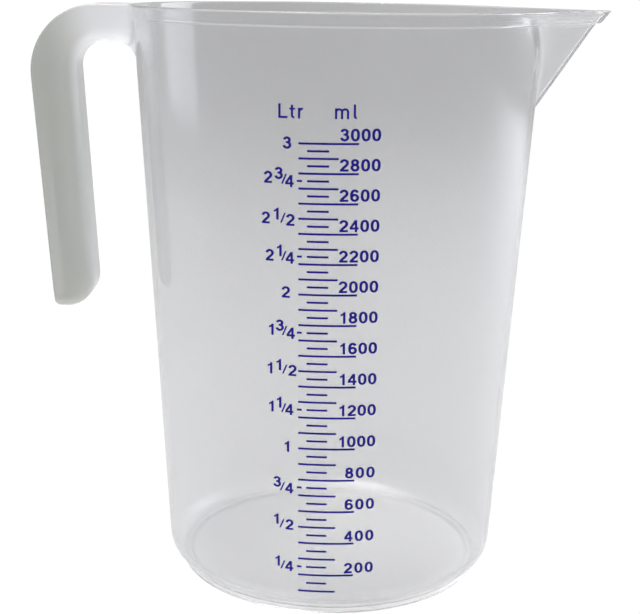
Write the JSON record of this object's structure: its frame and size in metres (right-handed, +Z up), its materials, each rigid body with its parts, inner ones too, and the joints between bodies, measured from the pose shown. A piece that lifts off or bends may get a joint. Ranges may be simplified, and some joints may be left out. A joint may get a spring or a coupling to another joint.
{
  "type": "measuring jug",
  "caption": "Tall tapered jug of milky translucent plastic with a printed volume scale, a V-shaped pouring lip and an open-ended hook handle",
  "frame": {"origin": "Centre of the foot ring, on the vessel's axis, at the surface the jug stands on", "axes": "+Z up along the vessel's axis; +X towards the pouring lip, so the handle is at -X; the printed scale faces -Y"},
  "size_m": [0.2319, 0.1666, 0.234],
  "materials": {
    "milky_plastic": "smooth milky translucent polypropylene, softly glossy",
    "print_ink": "opaque blue-violet screen print"
  },
  "bodies": {
    "root": {"vessel_wall": "milky_plastic", "floor_disc": "milky_plastic", "foot_ring": "milky_plastic", "rim_band": "milky_plastic", "pouring_lip": "milky_plastic", "handle_web": "milky_plastic", "handle_front_cheek": "milky_plastic", "handle_rear_cheek": "milky_plastic", "graduation_lines": "print_ink", "litre_figures": "print_ink", "millilitre_figures": "print_ink", "unit_headings": "print_ink"}
  },
  "joints": []
}
